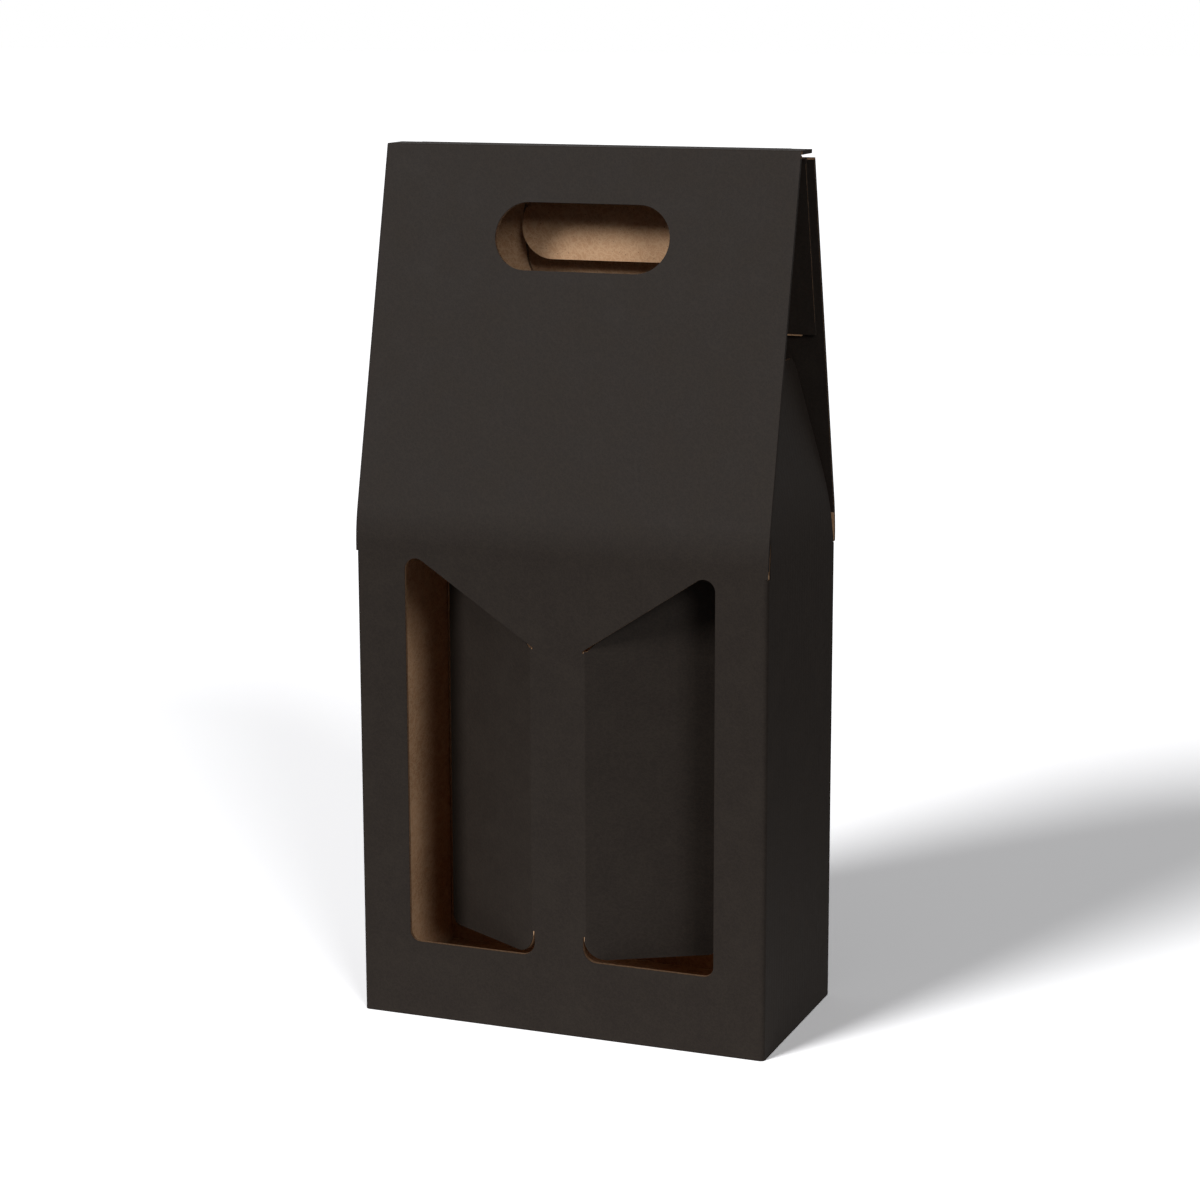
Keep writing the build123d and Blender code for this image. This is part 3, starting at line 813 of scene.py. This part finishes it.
def slope_frame(lean_up, lean_out, wall_sign):
    """Frame of a slope's middle plane, measured from the ridge's height: up the slope is positive."""
    z = ridge_height
    y = wall_sign * (half_depth - (z - KNEE) * math.tan(math.acos(min(1.0, float(lean_up[2])))))
    return (np.array((0.0, y, z)) - lean_out * HALF_BOARD, RIGHT, lean_up, lean_out)


front_frame = slope_frame(front_up, front_out, -1.0)
back_frame = slope_frame(back_up, back_out, 1.0)
tuck_frame = (ridge_end, RIGHT, back_up, back_out)
tab_start = np.array(joints["lock_tab_crease"]["pos_m"])
tab_frame = (tab_start, RIGHT, -tab_down, tab_out)
cut_edge("handle_cut", slot_outline(*HANDLE, HANDLE_ROUND, HANDLE_DROP), -1, front_frame, "lid")
cut_edge("back_hole_cut", slot_outline(*BACK_HOLE), -1, back_frame, "back_slope")
tab_drop = np.linalg.norm(tab_start - ridge_end)
TUCK_HOLE = (3.0 * MM, 28.0 * MM + 14.0 * MM)
hole_middle = -(tab_drop - TUCK_HOLE[0] + sum(TUCK_HOLE) / 2)
tuck_hole = slot_outline(HANDLE[0], sum(TUCK_HOLE), HANDLE_ROUND, hole_middle)
cut_edge("tuck_hole_cut", tuck_hole, -1, tuck_frame, "tuck")


def tab_outline():
    """The tab below its hinge: straight shoulders out to its full width, then round lower corners."""
    half, length, round_corner = 37.6 * MM, 28.0 * MM, 14.4 * MM
    corners = [(-24.0 * MM, -0.4 * MM), (24.0 * MM, -0.4 * MM), (half - 1.2 * MM, -8.0 * MM)]
    corners += [(half, -13.0 * MM), (half, -length), (-half, -length), (-half, -13.0 * MM)]
    corners += [(-half + 1.2 * MM, -8.0 * MM)]
    radii = [0.3 * MM, 0.3 * MM, 4.0 * MM, 0.3 * MM, round_corner, round_corner, 0.3 * MM, 4.0 * MM]
    return rounded_outline(corners, radii)


cut_edge("tab_cut", tab_outline(), 1, tab_frame, "lock_tab")

# %% [markdown]
# ## Round shoulders of the tab
#
# The tab is cut from the hole, so its shoulders are as round as the hole's ends. The frame's tab slants
# there instead, to turn with room to spare, and daylight shows through the corner. A sliver of board on
# each shoulder fills the outer part of the round end. Its upper edge is the hole's own arc, less a margin
# that keeps it clear of the hole at every angle of the tab.

# %% Shoulders of the tab
HOLE_RADIUS = 14.7 * MM
HOLE_MIDDLE = -13.7 * MM
SHOULDER_INNER, SHOULDER_OUTER = 31.5 * MM, 36.7 * MM
SHOULDER_LAYERS = (
    ("kraft", -0.79 * MM, 0.6 * MM, kraft_wide, "kraft_board"),
    ("print", 0.6 * MM, 0.79 * MM, print_wide, "black_print"),
)
CUT_CLEAR = 0.90 * MM


def tab_shoulder(name, side, low_face, high_face, material):
    """A prism: from the tab's slanted shoulder up to the arc, height = middle + sqrt(radius^2 - across^2)."""
    across = np.linspace(SHOULDER_OUTER, SHOULDER_INNER, 14)
    arc = HOLE_MIDDLE + np.sqrt((HOLE_RADIUS - CUT_CLEAR) ** 2 - (across - HANDLE[0] / 2 + HOLE_RADIUS) ** 2)
    x = np.concatenate([[SHOULDER_INNER, SHOULDER_OUTER - 0.4 * MM], across]) * side
    up = np.concatenate([[-5.0 * MM, -9.0 * MM], arc])
    origin, right, upward, normal = tab_frame
    sheet = origin + x[:, None] * right + up[:, None] * upward
    vertices = np.vstack([sheet + normal * low_face, sheet + normal * high_face])
    count = len(sheet)
    ring = np.arange(count)
    mesh = bpy.data.meshes.new(name)
    sides = np.stack([ring, (ring + 1) % count, (ring + 1) % count + count, ring + count], axis=1).tolist()
    mesh.from_pydata(vertices.tolist(), [], [ring[::-1].tolist(), (ring + count).tolist(), *sides])
    mesh.materials.append(material)
    piece = bpy.data.objects.new(name, mesh)
    bpy.context.scene.collection.objects.link(piece)
    fix_normals(piece)
    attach(piece, "lock_tab")


for name, side in (("left", -1.0), ("right", 1.0)):
    for layer, low_face, high_face, paper, slot in SHOULDER_LAYERS:
        tab_shoulder(f"{name}_tab_shoulder_{layer}", side, low_face, high_face, paper)
print("tab shoulders", 4)

# %% [markdown]
# ## The windows
#
# A window and its flap come from one cut, so they share an outline: three straight sides and a slanted
# top that meets the upright hinge. The flap is smaller by the width of the cut, and rounder at the foot of
# the hinge, where it has to clear the wall.

# %% Cuts of the windows and their flaps
STRIP_HALF = 11.8 * MM
WINDOW_EDGE = 68.0 * MM
WINDOW_BOTTOM = 33.2 * MM
WINDOW_HINGE_TOP = 165.8 * MM
WINDOW_RISE = math.tan(math.radians(33.5))
CUT_GAP = 0.4 * MM
FLAP_CUT_START = 1.2 * MM


def window_line(x, drop=0.0):
    """Height of the window's slanted edge, x away from the middle."""
    return WINDOW_HINGE_TOP + (x - STRIP_HALF) * WINDOW_RISE - drop


def window_outline(side):
    inner = STRIP_HALF - 1.0 * MM
    corners = [(side * inner, WINDOW_BOTTOM), (side * WINDOW_EDGE, WINDOW_BOTTOM)]
    corners += [(side * WINDOW_EDGE, window_line(WINDOW_EDGE)), (side * inner, window_line(inner))]
    return rounded_outline(corners, [6.0 * MM, 4.5 * MM, 5.0 * MM, 0.2 * MM])


def flap_outline():
    width = WINDOW_EDGE - STRIP_HALF - CUT_GAP
    drop = CUT_GAP / math.cos(math.atan(WINDOW_RISE))
    bottom = WINDOW_BOTTOM + CUT_GAP
    start = FLAP_CUT_START
    corners = [(start, bottom), (width, bottom), (width, window_line(STRIP_HALF + width, drop))]
    corners += [(4.0 * MM, window_line(STRIP_HALF + 4.0 * MM, drop)), (start, WINDOW_HINGE_TOP - 1.2 * MM)]
    return rounded_outline(corners, [10.0 * MM, 4.5 * MM, 5.0 * MM, 0.4 * MM, 0.4 * MM])


wall_frame = (np.array((0.0, HALF_BOARD - half_depth, 0.0)), RIGHT, UP, FRONT)
for name, side in (("left", -1.0), ("right", 1.0)):
    cut_edge(f"{name}_window_cut", window_outline(side), -1, wall_frame, "root")
    away = np.array((side, 0.0, 0.0))
    flap_way = rotated(away, FLAP_ANGLE * side, "Z")
    flap_out = rotated(FRONT, FLAP_ANGLE * side, "Z")
    start = np.array((side * STRIP_HALF, HALF_BOARD - half_depth, 0.0))
    cut_edge(f"{name}_flap_cut", flap_outline(), 1, (start, flap_way, UP, flap_out), f"{name}_window_flap")
print("cut edges done")

# %% [markdown]
# ## The fold at the foot of the walls
#
# The walls turn under into the base flaps, and the black liner goes round with them. The frame leaves a
# hair of brown body between the wall's liner and the base's, so a thin black band closes it all round.

# %% Band round the foot
FOOT_ROUND = 2.0 * MM
footprint = [(x * half_width, y * half_depth) for x, y in ((-1, -1), (1, -1), (1, 1), (-1, 1))]
foot = rounded_outline(footprint, [FOOT_ROUND] * 4)


def add_foot_band():
    """A band 0.28 mm tall and 0.2 mm thick, just inside the walls' faces, round the footprint's outline."""
    square = outward(foot)
    corners = [(0.0, 0.33), (0.0, 0.05), (-0.2, 0.05), (-0.2, 0.33)]
    loops = [
        np.column_stack([foot + square * out * MM, np.full(len(foot), height * MM)])
        for out, height in corners
    ]
    vertices = np.stack(loops, axis=1).reshape(-1, 3)
    band = mesh_object("foot_band", vertices, tube_faces(len(foot), 4, closed_rows=True), print_wide)
    fix_normals(band)
    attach(band, "root")


add_foot_band()

# %% [markdown]
# ## The white sweep
#
# The photograph has a pure white ground with two soft shadows, one behind each side of the box. To the
# camera the floor is brighter than white paper, so that it clips to plain white where it is lit and keeps
# its shadows, without more light on the box. To other rays it is white paper near the box, and dark
# farther off. The world is plain white to the camera, dim as a fill, and brighter in the papers' sheen.

# %% Floor and world
FLOOR_SIZE = 30.0
FLOOR_SHOWN = (2.10, 2.10, 2.13)
FLOOR_NEAR = 0.10
FLOOR_FAR = 0.50
WORLD_LIGHT = 0.08
WORLD_SHEEN = 0.45


def add_floor():
    half = FLOOR_SIZE / 2
    corners = np.array([(-half, -half, 0), (half, -half, 0), (half, half, 0), (-half, half, 0)])
    material, graph = new_material("floor_white")
    seen = graph.add("ShaderNodeLightPath").outputs["Is Camera Ray"]
    place = graph.add("ShaderNodeTexCoord").outputs["Object"]
    away = graph.add("ShaderNodeVectorMath", {0: place}, operation="LENGTH").outputs["Value"]
    near = graph.ramp(away, FLOOR_FAR, FLOOR_NEAR)
    tone = graph.mix(near, (0.05, 0.05, 0.05, 1.0), (0.90, 0.90, 0.90, 1.0))
    paper = graph.add("ShaderNodeBsdfDiffuse", {"Color": tone})
    shown = graph.add("ShaderNodeBsdfDiffuse", {"Color": (*FLOOR_SHOWN, 1.0)})
    mixed = graph.add("ShaderNodeMixShader", {0: seen})
    graph.tree.links.new(paper.outputs[0], mixed.inputs[1])
    graph.tree.links.new(shown.outputs[0], mixed.inputs[2])
    finish_material(graph, mixed)
    floor = mesh_object("floor", corners, np.array([[0, 1, 2, 3]]), material)
    return floor


def add_world():
    world = bpy.data.worlds.new("studio")
    bpy.context.scene.world = world
    world.use_nodes = True
    world.node_tree.nodes.clear()
    graph = Graph(world.node_tree)
    rays = graph.add("ShaderNodeLightPath")
    seen = graph.math("MAXIMUM", rays.outputs["Is Camera Ray"], rays.outputs["Is Transmission Ray"])
    fill = graph.math("ADD", graph.math("MULTIPLY", rays.outputs["Is Glossy Ray"], WORLD_SHEEN), WORLD_LIGHT)
    strength = graph.math("MAXIMUM", seen, fill)
    background = graph.add("ShaderNodeBackground", {"Color": (1, 1, 1, 1), "Strength": strength})
    output = graph.add("ShaderNodeOutputWorld")
    graph.tree.links.new(background.outputs[0], output.inputs[0])


add_floor()
add_world()

# %% [markdown]
# ## The light
#
# The box throws one soft shadow back to the right and a fainter one back to the left, so one broad lamp
# stands in front to the left and a weaker one in front to the right, both low. They are suns with wide
# discs, so the white floor is lit evenly as far as it goes. The paper under the box throws light back on
# the foot of the walls, and none from farther off, so the walls grow darker upwards.

# %% Lamps


def add_sun(name, azimuth, elevation, strength, spread):
    """A sun that shines from that azimuth, 0 in front and 90 to the right, and that height."""
    data = bpy.data.lights.new(name, "SUN")
    data.energy = strength
    data.angle = math.radians(spread)
    lamp = bpy.data.objects.new(name, data)
    bpy.context.scene.collection.objects.link(lamp)
    a, e = math.radians(azimuth), math.radians(elevation)
    towards = Vector((math.sin(a) * math.cos(e), -math.cos(a) * math.cos(e), math.sin(e)))
    lamp.rotation_mode = "QUATERNION"
    lamp.rotation_quaternion = towards.to_track_quat("Z", "Y")
    return lamp


add_sun("lamp_left", -28.0, 30.0, 2.2, 20.0)
add_sun("lamp_right", 42.0, 24.0, 1.0, 20.0)
bpy.context.scene.view_settings.view_transform = "Standard"
